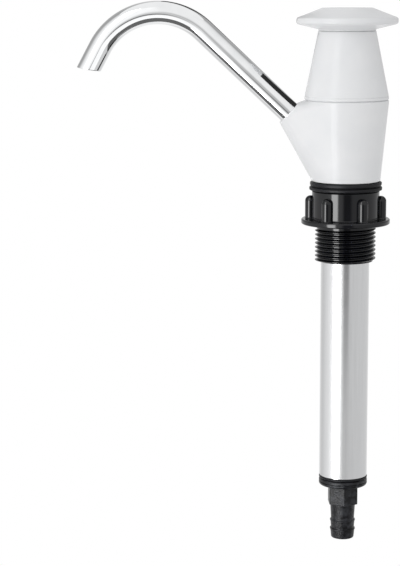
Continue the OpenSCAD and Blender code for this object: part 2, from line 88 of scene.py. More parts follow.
def rounded(*corners):
    """Points of a closed outline from corners of (radius, height, rounding) in millimetres."""
    points = []
    for before, here, after in zip(corners[-1:] + corners[:-1], corners, corners[1:] + corners[:1]):
        corner, rounding = Vector(here[:2]), here[2]
        if not rounding:
            points.append(tuple(corner))
            continue
        back = (Vector(before[:2]) - corner).normalized()
        ahead = (Vector(after[:2]) - corner).normalized()
        half = back.angle(ahead) / 2
        centre = corner + (back + ahead).normalized() * rounding / math.sin(half)
        reach = rounding / math.tan(half)
        first = corner + back * reach - centre
        last = corner + ahead * reach - centre
        for step in range(ARC_STEPS + 1):
            spoke = first.lerp(last, step / ARC_STEPS).normalized() * rounding
            points.append(tuple(centre + spoke))
    return points


print("a rounded corner has", ARC_STEPS + 1, "points")

# %% [markdown]
# ## Turning an outline
# A lathe spins a bar against a tool. Here the outline is copied round the axis instead, and neighbours
# are joined by faces. A Screw modifier would do the same, but plain mesh code leaves the points in our
# hands, so that a ring can be made uneven on the way. Points that fall together on the axis are welded,
# which leaves clean end faces.

# %% Turned meshes
TURN_STEPS = 160
WELD = 1e-7


def settle(mesh, name):
    """Welds and orients a bmesh, and links it to the scene as a piece."""
    bmesh.ops.remove_doubles(mesh, verts=mesh.verts, dist=WELD)
    bmesh.ops.dissolve_degenerate(mesh, edges=mesh.edges, dist=WELD)
    bmesh.ops.recalc_face_normals(mesh, faces=mesh.faces)
    data = bpy.data.meshes.new(name)
    mesh.to_mesh(data)
    mesh.free()
    piece = bpy.data.objects.new(name, data)
    bpy.context.scene.collection.objects.link(piece)
    return piece


def on_circle(mesh, radius, height, angle):
    """A new vertex about the pump's axis, from millimetres and radians."""
    return mesh.verts.new((radius * MM * math.cos(angle), radius * MM * math.sin(angle), height * MM))


def turned(name, outline, swell=lambda radius, height, angle: radius):
    """A closed outline turned about the pump's axis. swell may change a radius on the way."""
    mesh = bmesh.new()
    rings = []
    for step in range(TURN_STEPS):
        angle = math.tau * step / TURN_STEPS
        rings.append([on_circle(mesh, swell(r, z, angle), z, angle) for r, z in outline])
    for ring, following in zip(rings, rings[1:] + rings[:1]):
        for i, (r, _) in enumerate(outline):
            if r or outline[i - 1][0]:
                mesh.faces.new((ring[i - 1], ring[i], following[i], following[i - 1]))
    return settle(mesh, name)


print("turned pieces have", TURN_STEPS, "steps")

# %% [markdown]
# ## Joining and cutting
# Some mouldings are several simple shapes melted into one, with bores cut through them. A Boolean
# modifier says just that. It is applied at once and its helper is deleted, so that the finished piece is
# one plain mesh. A cutter reaches a little past the face that it opens, because two faces in one place
# confuse it.

# %% Joined and cut meshes
CUT_PAST = 1.0


def combine(piece, other, operation):
    """Adds other to piece, or cuts it away, and removes other."""
    change = piece.modifiers.new("change", "BOOLEAN")
    change.operation = operation
    change.solver = "EXACT"
    change.object = other
    bpy.context.view_layer.update()
    depsgraph = bpy.context.evaluated_depsgraph_get()
    result = bpy.data.meshes.new_from_object(piece.evaluated_get(depsgraph))
    piece.modifiers.clear()
    old = piece.data
    piece.data = result
    result.name = piece.name
    bpy.data.meshes.remove(old)
    bpy.data.objects.remove(other)


print("cutters reach", CUT_PAST, "mm past a face")

# %% [markdown]
# ## Handing a piece over
# Each new piece is shaded smooth except across real creases, takes a finish, and is tied to the body that
# it moves with, so that the swivel and the plunger carry it. Weighted normals let the big faces decide
# how the light runs, and the small rounded edges then look crisp instead of swollen.

# %% Dress a piece
CREASE = math.radians(32)


def dress(piece, finish, body, slot, *nodes):
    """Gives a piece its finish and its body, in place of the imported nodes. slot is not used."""
    piece.data.materials.clear()
    piece.data.materials.append(finish)
    piece.data.shade_smooth()
    piece.data.set_sharp_from_angle(angle=CREASE)
    weighted = piece.modifiers.new("even light", "WEIGHTED_NORMAL")
    weighted.keep_sharp = True
    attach(piece, body)
    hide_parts(*nodes)
    print(piece.name, "-", len(piece.data.polygons), "faces, rides on", body)


print("creases over", round(math.degrees(CREASE)), "degrees stay sharp")

# %% [markdown]
# ## Wiring a finish
# A finish is a small machine of nodes. Noise in the piece's own coordinates gives marks that stay put
# when the piece moves, at a size that can be worked out: a noise of scale 1000 has marks about a
# millimetre wide. These helpers add a node, set its sockets and join it up, so that each finish below
# reads like a recipe.

# %% Nodes and their sockets
def new_finish(name, **settings):
    """A material with its surface node's plain values set."""
    finish = bpy.data.materials.new(name)
    finish.use_nodes = True
    surface = finish.node_tree.nodes["Principled BSDF"]
    for socket, value in settings.items():
        surface.inputs[socket.replace("_", " ")].default_value = value
    return finish, surface


def add(finish, kind, sockets=(), **settings):
    """A node with some of its sockets set or linked. A socket's value may be another node's output."""
    node = finish.node_tree.nodes.new(kind)
    for name, value in settings.items():
        setattr(node, name, value)
    for socket, value in dict(sockets).items():
        if isinstance(value, bpy.types.NodeSocket):
            finish.node_tree.links.new(value, node.inputs[socket])
        else:
            node.inputs[socket].default_value = value
    return node


def connect(finish, surface, **sockets):
    """Links outputs to the surface node's sockets."""
    for socket, output in sockets.items():
        finish.node_tree.links.new(output, surface.inputs[socket.replace("_", " ")])


def reckon(finish, operation, first, second):
    """The result of a sum or a comparison of two numbers."""
    return add(finish, "ShaderNodeMath", {0: first, 1: second}, operation=operation).outputs[0]


print("node helpers ready")

# %% Noise, tones and bumps
COLOUR_A, COLOUR_B, COLOUR_OUT = 6, 7, 2
NOISE_LOW, NOISE_HIGH = 0.3, 0.7
EDGE_START, EDGE_FULL = 0.53, 0.62


def grain(finish, scale, detail=3.0, stretch=(1, 1, 1), distortion=0.0):
    """A noise between 0 and 1 in the piece's own coordinates, stretched if it has a direction."""
    place = add(finish, "ShaderNodeTexCoord").outputs["Object"]
    mapped = add(finish, "ShaderNodeMapping", {"Vector": place, "Scale": stretch}).outputs["Vector"]
    noise = {"Vector": mapped, "Scale": scale, "Detail": detail, "Distortion": distortion}
    return add(finish, "ShaderNodeTexNoise", noise).outputs["Fac"]


def between(finish, value, low, high, start=NOISE_LOW, end=NOISE_HIGH):
    """Maps a value from start to end onto a range of numbers."""
    ends = {"Value": value, "From Min": start, "From Max": end, "To Min": low, "To Max": high}
    return add(finish, "ShaderNodeMapRange", ends).outputs["Result"]


def tint(finish, value, dark, light, start=NOISE_LOW, end=NOISE_HIGH):
    """Maps a value from start to end onto a run between two colours."""
    ramp = add(finish, "ShaderNodeValToRGB", {"Fac": value})
    for stop, position, colour in zip(ramp.color_ramp.elements, (start, end), (dark, light)):
        stop.position = position
        stop.color = (*colour, 1)
    return ramp.outputs["Color"]


def mixed(finish, part, first, second):
    """Goes from the first colour to the second as part goes from 0 to 1."""
    sockets = {"Factor": part, COLOUR_A: first, COLOUR_B: second}
    return add(finish, "ShaderNodeMix", sockets, data_type="RGBA").outputs[COLOUR_OUT]


def relief(finish, height, depth, strength):
    """A bump from a height between 0 and 1. depth is in metres."""
    bump = {"Height": height, "Distance": depth, "Strength": strength}
    return add(finish, "ShaderNodeBump", bump).outputs["Normal"]


def worn_edges(finish, tone, worn, amount):
    """Mixes a second colour in on convex edges, where hands and cloths rub."""
    edge = add(finish, "ShaderNodeNewGeometry").outputs["Pointiness"]
    return mixed(finish, between(finish, edge, 0.0, amount, EDGE_START, EDGE_FULL), tone, (*worn, 1))


print("noises are used from", NOISE_LOW, "to", NOISE_HIGH)

# %% [markdown]
# ## White moulded plastic
# Knob, cap and head are glossy white mouldings. One flat colour would look like paint on a screen. White
# plastic is a little grey and cool, and slow changes of tone and gloss run through it, about two
# centimetres wide. A very fine skin from the mould breaks the gloss, a millimetre wide and only two
# thousandths of a millimetre deep.

# %% White plastic
PLASTIC_IOR = 1.5
CLOUD_SCALE, SKIN_SCALE, SKIN_DEPTH = 55, 900, 0.002 * MM
white_plastic, surface = new_finish("white_plastic", IOR=PLASTIC_IOR, Specular_IOR_Level=0.14)
cloudy = grain(white_plastic, CLOUD_SCALE, detail=4)
skin = grain(white_plastic, SKIN_SCALE, detail=5)
tone = tint(white_plastic, cloudy, (0.79, 0.80, 0.815), (0.835, 0.84, 0.85))
tone = worn_edges(white_plastic, tone, worn=(0.76, 0.755, 0.74), amount=0.5)
connect(white_plastic, surface, Base_Color=tone,
        Roughness=between(white_plastic, cloudy, 0.20, 0.24),
        Normal=relief(white_plastic, skin, SKIN_DEPTH, strength=0.1))
print("white plastic:", len(white_plastic.node_tree.nodes), "nodes")

# %% [markdown]
# ## Black moulded plastic
# The base and the foot plug are a hard black, a filled plastic that takes a thread and a spanner. A black
# gloss shows only what it mirrors, so its life is in the reflection: an orange-peel ripple about two
# millimetres wide, a finer grain, and slightly paler rubbed edges on lugs, ridges and corners. The base
# comes from a polished mould. The plug has a duller, more mottled skin, so one recipe makes both, with a
# gloss, a ripple and patches of their own.

# %% Black plastic
FIBRE_SCALE, RIPPLE_STRENGTH = 2600, 0.25
BLACK, RUBBED_BLACK = (0.0012, 0.0014, 0.0028), (0.012, 0.012, 0.0125)
PATCH_START, PATCH_FULL = 0.42, 0.72


def black_finish(name, gloss, smooth, rough, ripple_scale, ripple_depth, patch_scale, patch_tone):
    """A filled black plastic: its gloss, the range of its roughness, its ripple and its paler patches."""
    finish, face = new_finish(name, IOR=PLASTIC_IOR, Specular_IOR_Level=gloss)
    fibre = grain(finish, FIBRE_SCALE, detail=4)
    ripple = reckon(finish, "ADD", grain(finish, ripple_scale, detail=2), fibre)
    patches = grain(finish, patch_scale, detail=5, distortion=0.6)
    tone = tint(finish, patches, BLACK, patch_tone, PATCH_START, PATCH_FULL)
    connect(finish, face, Base_Color=worn_edges(finish, tone, worn=RUBBED_BLACK, amount=0.6),
            Roughness=between(finish, fibre, smooth, rough),
            Normal=relief(finish, ripple, ripple_depth, RIPPLE_STRENGTH))
    print(name, "-", len(finish.node_tree.nodes), "nodes")
    return finish


black_plastic = black_finish(
    "black_plastic", gloss=0.42, smooth=0.04, rough=0.085, ripple_scale=420, ripple_depth=0.015 * MM,
    patch_scale=150, patch_tone=(0.0026, 0.0030, 0.0055))
plug_plastic = black_finish(
    "plug_plastic", gloss=0.33, smooth=0.25, rough=0.42, ripple_scale=600, ripple_depth=0.9 * MM,
    patch_scale=300, patch_tone=(0.034, 0.036, 0.042))

# %% [markdown]
# ## Rubber
# The swivel ring and the seals are moulded rubber: dull, dark, with a soft bloom. One even grey would
# pass for hard plastic, so a broad patchy noise carries the bloom and a fine one the tooth of the mould.

# %% Rubber
BLOOM_SCALE, TOOTH_SCALE, TOOTH_DEPTH = 240, 2200, 0.05 * MM
rubber, surface = new_finish("rubber", IOR=PLASTIC_IOR, Specular_IOR_Level=0.27)
bloom = grain(rubber, BLOOM_SCALE, detail=5)
tooth = grain(rubber, TOOTH_SCALE, detail=5)
connect(rubber, surface,
        Base_Color=tint(rubber, bloom, (0.0025, 0.0027, 0.0040), (0.0055, 0.0058, 0.0080)),
        Roughness=between(rubber, bloom, 0.38, 0.55),
        Normal=relief(rubber, tooth, TOOTH_DEPTH, strength=0.5))
print("rubber:", len(rubber.node_tree.nodes), "nodes")

# %% [markdown]
# ## Drawn aluminium
# The barrel is a tube pulled through a die. The die leaves hair lines along the tube, so the noise is
# stretched along the axis until it becomes lines. They vary the tone and the bump, and a broad noise
# varies the roughness, so that light spreads into the soft upright bands that tell a drawn tube from a
# turned one.

# %% Drawn aluminium
ALONG_TUBE = (1, 1, 0.012)
HAIR_SCALE, HAIR_DEPTH, DULL_SCALE = 2400, 0.012 * MM, 90
drawn_aluminium, surface = new_finish("drawn_aluminium", Metallic=1.0)
hair = grain(drawn_aluminium, HAIR_SCALE, detail=4, stretch=ALONG_TUBE)
dull = grain(drawn_aluminium, DULL_SCALE, detail=4)
connect(drawn_aluminium, surface,
        Base_Color=tint(drawn_aluminium, hair, (0.705, 0.71, 0.72), (0.755, 0.76, 0.77)),
        Roughness=between(drawn_aluminium, dull, 0.15, 0.20),
        Normal=relief(drawn_aluminium, hair, HAIR_DEPTH, strength=0.25))
print("drawn aluminium:", len(drawn_aluminium.node_tree.nodes), "nodes")

# %% [markdown]
# ## Chrome plate
# The spout is a bent metal pipe, polished and plated. Chrome is a mirror with a faint blue cast. What
# makes it real is that a hand-polished pipe is not perfectly even: a weak ripple bends the reflected
# bands a little, and a trace of wiping marks changes the roughness.

# %% Chrome
POLISH_SCALE, POLISH_DEPTH, WIPING_SCALE = 130, 0.03 * MM, 1500
chrome, surface = new_finish("chrome", Metallic=1.0)
polish = grain(chrome, POLISH_SCALE, detail=2)
wiping = grain(chrome, WIPING_SCALE, detail=4)
connect(chrome, surface,
        Base_Color=tint(chrome, polish, (0.80, 0.81, 0.82), (0.86, 0.865, 0.87)),
        Roughness=between(chrome, wiping, 0.03, 0.07),
        Normal=relief(chrome, polish, POLISH_DEPTH, strength=0.2))
print("chrome:", len(chrome.node_tree.nodes), "nodes")

# %% [markdown]
# ## Rod, clips and inner plastics
# The rod, washers, nut and ball are ground stainless steel. The clips are darker spring steel. Gland,
# guide and the ball's cage are pale machined plastic, and the piston is a dark one. A recipe for each
# would repeat the same nodes, so they share one with different numbers: a tone that wanders, a roughness
# that follows the tool marks, and a shallow bump.

# %% Inner finishes
ROUND_MARKS = (0.05, 0.05, 1)
SMOOTHEST, ROUGHEST, MARK_DEPTH = 0.8, 1.25, 0.01 * MM


def inner_finish(name, dark, light, rough, metal, scale, stretch=(1, 1, 1)):
    """A simple machined or moulded finish for the pieces inside the pump."""
    finish, face = new_finish(name, Metallic=metal)
    marks = grain(finish, scale, detail=4, stretch=stretch)
    connect(finish, face, Base_Color=tint(finish, marks, dark, light),
            Roughness=between(finish, marks, rough * SMOOTHEST, rough * ROUGHEST),
            Normal=relief(finish, marks, MARK_DEPTH, strength=0.4))
    return finish


stainless = inner_finish("stainless_steel", (0.56, 0.57, 0.58), (0.66, 0.67, 0.68),
                         rough=0.2, metal=1.0, scale=2600, stretch=ROUND_MARKS)
spring_steel = inner_finish("spring_steel", (0.30, 0.31, 0.32), (0.40, 0.41, 0.42),
                            rough=0.35, metal=1.0, scale=1800)
acetal = inner_finish("acetal", (0.76, 0.75, 0.71), (0.83, 0.82, 0.78),
                      rough=0.42, metal=0.0, scale=1600, stretch=ROUND_MARKS)
piston_plastic = inner_finish("piston_plastic", (0.040, 0.040, 0.044), (0.060, 0.060, 0.065),
                              rough=0.4, metal=0.0, scale=900)
print("inner finishes:", [finish.name for finish in (stainless, spring_steel, acetal, piston_plastic)])

# %% [markdown]
# ## The knob
# A mushroom that fits the palm: flat top, sloping shoulder, thin round rim and a flared underside for two
# fingers. It could be pressed out of a sphere, but it is round about one axis, so a turning with a hole
# for the rod says it all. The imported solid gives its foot, its top and its width, and the rest are named
# sizes. Heights of a piece are measured from its foot.

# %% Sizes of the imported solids
def span(node):
    """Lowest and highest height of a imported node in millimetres."""
    low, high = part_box(node)
    return low[2] / MM, high[2] / MM


def half_width(node):
    """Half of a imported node's size across, along Y, in millimetres."""
    low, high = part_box(node)
    return (high[1] - low[1]) / 2 / MM


ROD_R = half_width("piston_rod")
FIT = 0.05
print("rod radius", round(ROD_R, 2), "mm, gap of a fit", FIT, "mm")

# %% Knob
KNOB_NECK_R, KNOB_FLAT_R, ROD_HOLE = 15.45, 13.6, 10.2
FLARE_FOOT, RIM_LOW, RIM_HIGH = 0.75, 3.65, 6.85
knob_foot, knob_crown = span("knob")
rim_r = half_width("knob")
hole_r, hole_top = ROD_R + FIT, knob_foot + ROD_HOLE
knob = turned("knob_moulding", rounded(
    (0, hole_top, 0), (hole_r, hole_top, 0), (hole_r, knob_foot, 0.2), (KNOB_NECK_R, knob_foot, 0.15),
    (KNOB_NECK_R, knob_foot + FLARE_FOOT, 0.5), (rim_r, knob_foot + RIM_LOW, 1.6),
    (rim_r, knob_foot + RIM_HIGH, 1.4), (KNOB_FLAT_R, knob_crown, 0.8), (0, knob_crown, 0)))
dress(knob, white_plastic, "plunger", "white_plastic", "knob")

# %% [markdown]
# ## The cap
# A thin cone on a straight band, with a hub inside that screws into the head and holds the rod's seal.
# Only the outside shows, but the hub is turned with it, so that the piece is a true shell. Two fine lines
# set it off: a narrow joint between cap and head, and a groove above the band. Both are part of the
# outline, because a line that is really cut catches shade from every side.

# %% Cap
CAP_R, CAP_WALL, CAP_BAND, SCREW_L = 15.6, 2.6, 2.0, 8.6
HUB_R, CORE_R, HUB_GAP, ROD_PLAY, CAP_LID, CAP_ROOF = 15.0, 11.0, 0.4, 0.4, 4.0, 10.0
JOINT_GAP, JOINT_DEPTH, BAND_GROOVE, GROOVE_DEPTH, CONE_STEP = 0.5, 0.9, 0.25, 0.3, 0.1
screw_foot, cap_top = span("top_cap")
band_r = half_width("top_cap")
head_top = screw_foot + SCREW_L
joint_r, joint_top = band_r - JOINT_DEPTH, head_top + JOINT_GAP
band_top = head_top + CAP_BAND
groove_r, groove_top = band_r - GROOVE_DEPTH, band_top + BAND_GROOVE
wall_r, rod_way = band_r - CAP_WALL, ROD_R + ROD_PLAY
lid_foot, hollow_top = cap_top - CAP_LID, cap_top - CAP_ROOF
cap = turned("cap_moulding", rounded(
    (rod_way, cap_top, 0.2), (rod_way, lid_foot, 0), (CORE_R, lid_foot, 0), (CORE_R, screw_foot, 0.2),
    (HUB_R, screw_foot, 0.4), (HUB_R, hollow_top, 0.1), (HUB_R + HUB_GAP, hollow_top, 0.1),
    (wall_r, band_top, 0.3), (wall_r, head_top, 0), (joint_r, head_top, 0), (joint_r, joint_top, 0),
    (band_r, joint_top, 0.2), (band_r, band_top, 0.2), (groove_r, band_top, 0), (groove_r, groove_top, 0),
    (band_r - CONE_STEP, groove_top, 0.1), (CAP_R, cap_top, 0.2)))
dress(cap, white_plastic, "head", "white_plastic", "top_cap")

# %% [markdown]
# ## The head
# The head is one moulding that runs from a round trunk into the slanted mouth of the spout socket.
# Stretch a skin over the trunk's two rims and the mouth and it takes exactly this form, so a convex hull
# of the three rims makes it, with no hand modelling. Each rim is laid out as a rounded edge first. Then
# the spigot that turns in the base is added, and the inner way, the cap's screw hole and the pipe's
# socket are cut. The matrix to_spout carries a shape from the pump's axis to the spout's axis, which
# leaves it at a slant.

# %% Head: the skin
HEAD_ROUND = 0.5
TRUNK_BASE_R, TRUNK_TOP_R, MOUTH_R = 18.8, 22.9, 7.6
SPOUT_ROOT, SPOUT_RISE, SOCKET_REACH = 31.2, math.radians(43.5), 43.0
head_base = span("swivel_gasket")[1]
lean_over = Matrix.Rotation(SPOUT_RISE - math.pi / 2, 4, "Y")
to_spout = Matrix.Translation((0, 0, SPOUT_ROOT * MM)) @ lean_over


def rim_points(mesh, radius, height, upward, place=Matrix()):
    """Rings of points over a rounded rim. upward is -1 for a lower edge and 1 for an upper one."""
    for step in range(ARC_STEPS + 1):
        lean = math.pi / 2 * step / ARC_STEPS
        ring_r = radius - HEAD_ROUND * (1 - math.cos(lean))
        ring_z = height - upward * HEAD_ROUND * (1 - math.sin(lean))
        for turn in range(TURN_STEPS):
            point = on_circle(mesh, ring_r, ring_z, math.tau * turn / TURN_STEPS)
            point.co = place @ point.co


mesh = bmesh.new()
rim_points(mesh, TRUNK_BASE_R, head_base, -1)
rim_points(mesh, TRUNK_TOP_R, head_top, 1)
rim_points(mesh, MOUTH_R, SOCKET_REACH, 1, to_spout)
bmesh.ops.convex_hull(mesh, input=mesh.verts)
bmesh.ops.delete(mesh, geom=[v for v in mesh.verts if not v.link_faces], context="VERTS")
head = settle(mesh, "head_moulding")
print("head skin:", len(head.data.polygons), "faces")

# %% Head: spigot and bores
SPIGOT_R, SPIGOT_FOOT, SPIGOT_LAP = 16.14, 6.8, 2.0
CHAMBER_R, SCREW_ROOM = 12.64, 0.4
SPOUT_R, SPOUT_WALL, SOCKET_DEPTH = 6.27, 1.0, 14.5
spigot_top = head_base + SPIGOT_LAP
way_foot, way_top = SPIGOT_FOOT - CUT_PAST, head_top + CUT_PAST
screw_r, screw_floor = HUB_R + FIT, screw_foot - SCREW_ROOM
pipe_start, mouth = SOCKET_REACH - SOCKET_DEPTH, SOCKET_REACH + CUT_PAST
spout_bore_r, socket_r, bore_start = SPOUT_R - SPOUT_WALL, SPOUT_R + FIT, CHAMBER_R / 2
spigot = turned("spigot", rounded(
    (0, SPIGOT_FOOT, 0), (SPIGOT_R, SPIGOT_FOOT, 0.5), (SPIGOT_R, spigot_top, 0), (0, spigot_top, 0)))
inner_way = turned("inner_way", [
    (0, way_foot), (CHAMBER_R, way_foot), (CHAMBER_R, screw_floor), (screw_r, screw_floor),
    (screw_r, way_top), (0, way_top)])
socket = turned("socket", [
    (0, bore_start), (spout_bore_r, bore_start), (spout_bore_r, pipe_start), (socket_r, pipe_start),
    (socket_r, mouth), (0, mouth)])
socket.data.transform(to_spout)
combine(head, spigot, "UNION")
combine(head, inner_way, "DIFFERENCE")
combine(head, socket, "DIFFERENCE")
dress(head, white_plastic, "head", "white_plastic", "pump_head")

# %% [markdown]
# ## The spout
# A swan neck bent from one straight pipe: a long rising run, one even bend and a short tip that is cut at
# a slant and deburred. A curve with a bevel would give the pipe, but not its wall or its lip. Here rings
# of points follow the bend outside, roll over the lip, and go back inside, which makes a real tube with a
# real bore.

# %% Spout: rings along the pipe
SPOUT_RUN, BEND_R, BEND = 64.0, 35.4, math.radians(105.3)
PIPE_STEPS = 64
run_end = SOCKET_REACH + SPOUT_RUN


def pipe_station(turn, ahead):
    """Centre, outward side and direction of the pipe, so far round the bend and then so far ahead."""
    side = Vector((math.cos(turn), 0, math.sin(turn)))
    forward = Vector((-math.sin(turn), 0, math.cos(turn)))
    return Vector((-BEND_R, 0, run_end)) + side * BEND_R + forward * ahead, side, forward


def pipe_ring(mesh, station, radius, slant=0.0, past=0.0):
    """A ring of points round the pipe. slant tilts it against the pipe, and past moves it along."""
    centre, side, forward = station
    ring = []
    for step in range(PIPE_STEPS):
        angle = math.tau * step / PIPE_STEPS
        out = radius * math.cos(angle)
        point = centre + side * out + Vector((0, radius * math.sin(angle), 0))
        point += forward * (past + out * math.tan(slant))
        ring.append(mesh.verts.new(to_spout @ (point * MM)))
    return ring


print("spout axis:", round(run_end + BEND_R * BEND), "mm from the pump's axis to the end of the bend")

# %% Spout: the pipe and its lip
TIP, TIP_SLANT = 13.2, math.radians(18)
BEND_STEPS, LIP_STEPS = 72, 6
stations = [pipe_station(0, pipe_start - run_end), pipe_station(0, SOCKET_REACH - run_end)]
stations += [pipe_station(BEND * step / BEND_STEPS, 0) for step in range(BEND_STEPS + 1)]
outlet = pipe_station(BEND, TIP)
half_wall = SPOUT_WALL / 2
mesh = bmesh.new()
rings = [pipe_ring(mesh, station, SPOUT_R) for station in stations]
for step in range(LIP_STEPS + 1):
    lean = math.pi * step / LIP_STEPS
    lip_r = SPOUT_R - half_wall + half_wall * math.cos(lean)
    rings.append(pipe_ring(mesh, outlet, lip_r, TIP_SLANT, half_wall * (math.sin(lean) - 1)))
rings += [pipe_ring(mesh, station, spout_bore_r) for station in reversed(stations)]
for ring, following in zip(rings, rings[1:] + rings[:1]):
    for i in range(PIPE_STEPS):
        mesh.faces.new((ring[i - 1], ring[i], following[i], following[i - 1]))
dress(settle(mesh, "swan_neck"), chrome, "head", "spout_chrome", "spout")

# %% [markdown]
# ## The swivel ring
# A thick rubber ring is squeezed between head and base. Two ribs run round it with a groove between them,
# the lower one a little wider. Squeezed rubber never bulges evenly, so three slow waves pull the ribs in
# by up to a quarter of a millimetre round the ring. Random bumps would show a seam, but whole waves meet
# themselves after a turn. Where it meets the mouldings it stays true.

# %% Swivel ring
RING_BORE_R, SEAT_R, RIB_STEP, RING_GROOVE = 16.5, 17.6, 0.35, 1.5
RIB_EDGE, LOWER_LIP, UPPER_LIP = 0.7, 0.55, 0.5
SWELLS = ((2, 0.3, 0.05), (5, 1.7, 0.04), (11, 0.9, 0.03))
ring_foot, ring_top = span("swivel_gasket")
lower_rib_r = half_width("swivel_gasket")
upper_rib_r = lower_rib_r - RIB_STEP
middle_z = (ring_foot + ring_top) / 2


def uneven(radius, height, angle):
    """Pulls the ribs in here and there. SWELLS has the waves round the ring, their start and their size."""
    pull = sum(size * (1 + math.sin(waves * angle + start + height)) for waves, start, size in SWELLS)
    return radius - pull * max(0.0, (radius - SEAT_R) / (lower_rib_r - SEAT_R))


swivel_ring = turned("swivel_ring", rounded(
    (RING_BORE_R, ring_foot, 0), (SEAT_R, ring_foot, 0), (lower_rib_r, ring_foot + RIB_EDGE, 0.7),
    (lower_rib_r, middle_z - LOWER_LIP, 0.6), (lower_rib_r - RING_GROOVE, middle_z, 0.15),
    (upper_rib_r, middle_z + UPPER_LIP, 0.5), (upper_rib_r, ring_top - RIB_EDGE, 0.6),
    (SEAT_R, ring_top, 0), (RING_BORE_R, ring_top, 0)), uneven)
dress(swivel_ring, rubber, "base", "rubber", "swivel_gasket")

# %% [markdown]
# ## The base and its thread
# The black base is one moulding: a collar with six grip lugs, a flange that sits on the counter and a
# shank with a one-inch pipe thread. A thread can be swept along a helix and joined on, but a seam then
# shows at every turn. Here the shank's skin is made of lines that climb with the thread: one turn later
# each line meets the line one pitch higher, so the ridge is part of the skin. It fades in and out over a
# part of a turn at its ends. RIDGE is the outline of one ridge, in shares of the pitch and of the depth.

# %% Base: lines of the thread
NECK_R, NECK_H = 16.1, 2.1
PITCH, TURNS, CREST_R, THREAD_DEPTH, FADE_OVER = 2.309, 8, 16.625, 1.48, 0.22
RIDGE = ((0, 0), (0.083, 0), (0.12, 0.08), (0.40, 0.9), (0.45, 1),
         (0.55, 1), (0.60, 0.9), (0.88, 0.08), (0.917, 0))
root_r = CREST_R - THREAD_DEPTH


def fade(turns_in):
    """0 before the thread starts and 1 once it is full, by the turns from its end."""
    x = min(1.0, max(0.0, turns_in / FADE_OVER))
    return x * x * (3 - 2 * x)


def thread_line(column, row):
    """Radius and height of the skin on one upright column, for one row of the ridge's outline."""
    turn, place = divmod(row, len(RIDGE))
    part, rise = RIDGE[place]
    climb = column / TURN_STEPS
    down = min(TURNS, max(0.0, turn + part - climb))
    middle = turn + 0.5 - climb
    return root_r + THREAD_DEPTH * rise * fade(middle) * fade(TURNS - middle), -NECK_H - PITCH * down


print("thread:", TURNS, "turns,", 2 * CREST_R, "mm over the crests")

# %% Base: collar, flange and threaded shank
FLANGE_T, COLLAR_R, SOCKET_R = 2.8, 18.45, 16.2
TUBE_RISE, LEDGE_T, LEDGE_R = 1.0, 2.5, 11.1
RELIEF_GAP, RELIEF_H = 0.4, 0.3
FRONT = -math.pi / 2
FLANGE_R, TUBE_R = half_width("base_fitting"), half_width("barrel_tube")
shank_end, collar_top = span("base_fitting")[0], ring_foot
shank_bore_r, relief_r = TUBE_R + FIT, CREST_R + RELIEF_GAP
tube_stop = FLANGE_T + TUBE_RISE
ledge_top = tube_stop + LEDGE_T
collar = rounded(
    (shank_bore_r, shank_end, 0), (shank_bore_r, tube_stop, 0), (LEDGE_R, tube_stop, 0),
    (LEDGE_R, ledge_top, 0), (SOCKET_R, ledge_top, 0), (SOCKET_R, collar_top, 0.2),
    (COLLAR_R, collar_top, 0.3), (COLLAR_R, FLANGE_T, 0.7), (FLANGE_R, FLANGE_T, 0.8), (FLANGE_R, 0, 0.7),
    (relief_r, 0, 0), (relief_r, RELIEF_H, 0), (NECK_R, RELIEF_H, 0), (NECK_R, -NECK_H, 0))
rows = len(RIDGE) * (TURNS + 1)
mesh = bmesh.new()
columns = []
for column in range(TURN_STEPS):
    angle = FRONT + math.tau * column / TURN_STEPS
    outline = collar + [thread_line(column, row) for row in range(rows)] + [(root_r, shank_end)]
    columns.append([on_circle(mesh, r, z, angle) for r, z in outline])


def next_column(column, i):
    """The vertex beside vertex i. After a full turn a thread line meets the line one pitch up."""
    row = i - len(collar)
    if column + 1 < TURN_STEPS or row < 0 or row == rows:
        return columns[(column + 1) % TURN_STEPS][i]
    return columns[0][len(collar) + max(0, row - len(RIDGE))]


for column, line in enumerate(columns):
    for i in range(len(line)):
        corners = (line[i - 1], line[i], next_column(column, i), next_column(column, i - 1))
        if len(set(corners)) > 2:
            mesh.faces.new(dict.fromkeys(corners))
base = settle(mesh, "base_moulding")
print("base:", len(base.data.polygons), "faces")

# %% [markdown]
# ## The grip lugs
# Six ribs round the collar let a hand turn the base. Each is a half-round post with a domed top, like a
# bullet sunk nearly halfway into the collar, on a small fillet where it stands on the flange. They could
# be pulled out of the collar's faces, but a dome is round, so each bullet is turned about the pump's axis
# and moved out to its place, and the six are melted into the base. Their inner sides are then cut away to
# the socket's bore.

# %% Base: lugs
LUG_COUNT, LUG_TURN, LUG_REACH, LUG_H = 6, math.radians(-6), 22.15, 12.5
RIB_R, RIB_FILLET, RIB_SUNK, DOME_STEPS = 2.95, 0.5, 1.0, 10
lug_top = FLANGE_T + LUG_H
bullet = [(0, FLANGE_T - RIB_SUNK), (RIB_R + RIB_FILLET, FLANGE_T - RIB_SUNK)]
for step in range(ARC_STEPS + 1):
    lean = math.pi / 2 * step / ARC_STEPS
    bullet.append((RIB_R + RIB_FILLET * (1 - math.sin(lean)), FLANGE_T + RIB_FILLET * (1 - math.cos(lean))))
for step in range(DOME_STEPS):
    lean = math.pi / 2 * step / DOME_STEPS
    bullet.append((RIB_R * math.cos(lean), lug_top - RIB_R + RIB_R * math.sin(lean)))
bullet.append((0, lug_top))
for lug in range(LUG_COUNT):
    rib = turned("rib", bullet)
    around = Matrix.Rotation(LUG_TURN + math.tau * lug / LUG_COUNT, 4, "Z")
    rib.data.transform(around @ Matrix.Translation(((LUG_REACH - RIB_R) * MM, 0, 0)))
    combine(base, rib, "UNION")
bore_top = collar_top + CUT_PAST
